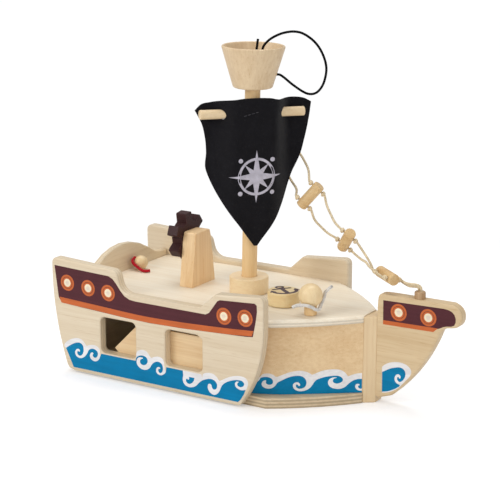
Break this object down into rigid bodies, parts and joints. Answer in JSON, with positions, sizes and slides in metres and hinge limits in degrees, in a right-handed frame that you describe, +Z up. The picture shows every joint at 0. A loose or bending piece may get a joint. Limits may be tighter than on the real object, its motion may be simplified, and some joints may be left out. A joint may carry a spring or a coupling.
{
  "type": "toy pirate boat",
  "caption": "Wooden toy boat with plywood hull, swinging mast and felt sail, turning ship's wheel and disc, lift-off peg figures and a rope ladder to the prow.",
  "frame": {"origin": "on the ground under the mast, in the middle of the base board's underside", "axes": "+X to the bow, +Y to port, +Z up"},
  "size_m": [0.3571, 0.1514, 0.3009],
  "materials": {
    "panel_plywood": "clear-lacquered birch plywood with painted bands",
    "deck_plywood": "clear-lacquered birch plywood",
    "base_plywood": "clear-lacquered birch plywood with visible plies",
    "bow_wood": "lacquered bent plywood with painted waves",
    "prow_plywood": "lacquered plywood with painted bands",
    "block_wood": "satin lacquered beech",
    "dowel_wood": "satin lacquered dowel",
    "rung_wood": "satin lacquered dowel",
    "peg_wood": "brown stained dowel",
    "ball_wood": "polished wooden ball",
    "disc_wood": "lacquered disc with a printed anchor",
    "hidden_dowel": "raw dowel",
    "wheel_brown": "dark brown gloss paint on wood",
    "black_felt": "black felt with a printed motif",
    "black_elastic": "braided black elastic",
    "white_cord": "braided white cord",
    "red_cord": "braided red cord",
    "cream_rope": "twisted cream cord"
  },
  "bodies": {
    "hull": {"side_panel_right": "panel_plywood", "side_panel_left": "panel_plywood", "deck": "deck_plywood", "base_board": "base_plywood", "transom": "panel_plywood", "bow_wall_right": "bow_wood", "bow_wall_left": "bow_wood", "stem_post": "block_wood", "prow_plate": "prow_plywood", "ladder_peg": "peg_wood", "mast_socket": "block_wood", "wheel_block": "block_wood", "wheel_pin": "wheel_brown", "disc_pin": "hidden_dowel", "rung_upper": "rung_wood", "rung_middle": "rung_wood", "rung_lower": "rung_wood", "ladder_rope": "cream_rope", "hull_dowels": "hidden_dowel", "block_dowels": "hidden_dowel", "prow_dowels": "hidden_dowel"},
    "mast": {"mast": "dowel_wood", "crows_nest": "block_wood", "yard": "dowel_wood", "sail": "black_felt", "elastic_loop": "black_elastic"},
    "wheel": {"ships_wheel": "wheel_brown"},
    "disc": {"anchor_disc": "disc_wood"},
    "sailor": {"sailor_body": "dowel_wood", "sailor_head": "ball_wood", "sailor_arms": "white_cord"},
    "mate": {"mate_head": "ball_wood", "mate_scarf": "red_cord"}
  },
  "joints": [
    {"name": "mast_turn", "type": "hinge", "parent": "hull", "child": "mast", "pos_m": [0, 0, 0.0755], "axis": [0.0209, 0, 0.9998], "range_deg": [-25, 5]},
    {"name": "wheel_turn", "type": "hinge", "parent": "hull", "child": "wheel", "pos_m": [-0.0653, 0, 0.117], "axis": [1, 0, 0], "continuous": true},
    {"name": "disc_turn", "type": "hinge", "parent": "hull", "child": "disc", "pos_m": [0.045, -0.0175, 0.0818], "axis": [0, 0, 1], "continuous": true},
    {"name": "sailor_lift", "type": "slide", "parent": "hull", "child": "sailor", "axis": [0, 0, 1], "range_m": [0, 0.06]},
    {"name": "mate_lift", "type": "slide", "parent": "hull", "child": "mate", "axis": [0, 0, 1], "range_m": [0, 0.05]}
  ]
}
